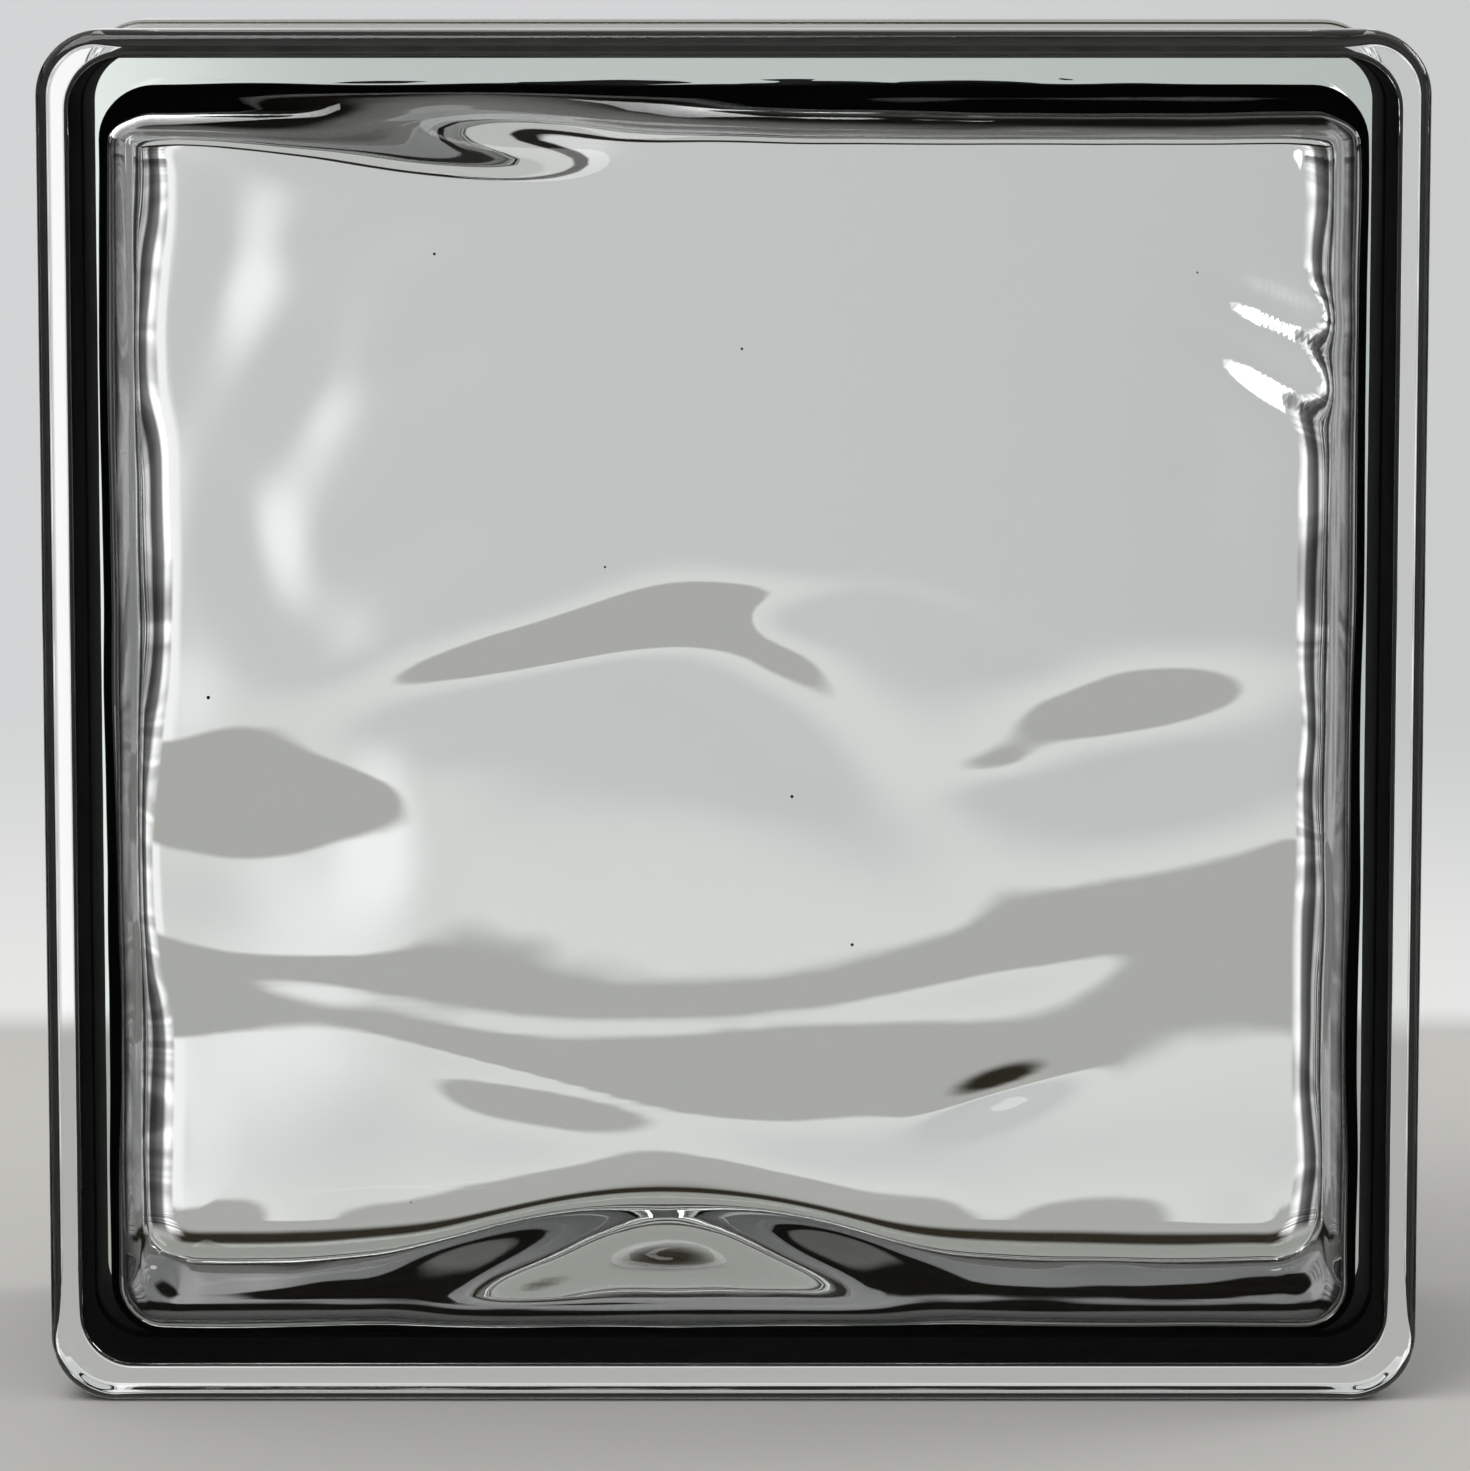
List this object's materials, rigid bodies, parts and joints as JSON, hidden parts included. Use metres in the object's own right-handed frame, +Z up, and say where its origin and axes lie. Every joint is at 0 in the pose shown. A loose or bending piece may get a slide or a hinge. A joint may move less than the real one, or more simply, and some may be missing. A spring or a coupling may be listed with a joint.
{
  "type": "hollow glass block",
  "caption": "Clear square hollow glass wall block with wavy inner faces, a lip around each face and a recessed waist with a fused seam that keys the mortar joint.",
  "frame": {"origin": "middle of the bottom, on the plane of the two bottom lips that the block stands on", "axes": "+X to the right across the face, +Y from the front face to the back face, +Z up; the block stands upright as it is laid in a wall"},
  "size_m": [0.19, 0.08, 0.19],
  "materials": {
    "clear_glass": "smooth pressed glass, faint green in long paths; dark matt bond coat on the outside of the waist"
  },
  "bodies": {
    "root": {"glass_block": "clear_glass"}
  },
  "joints": []
}
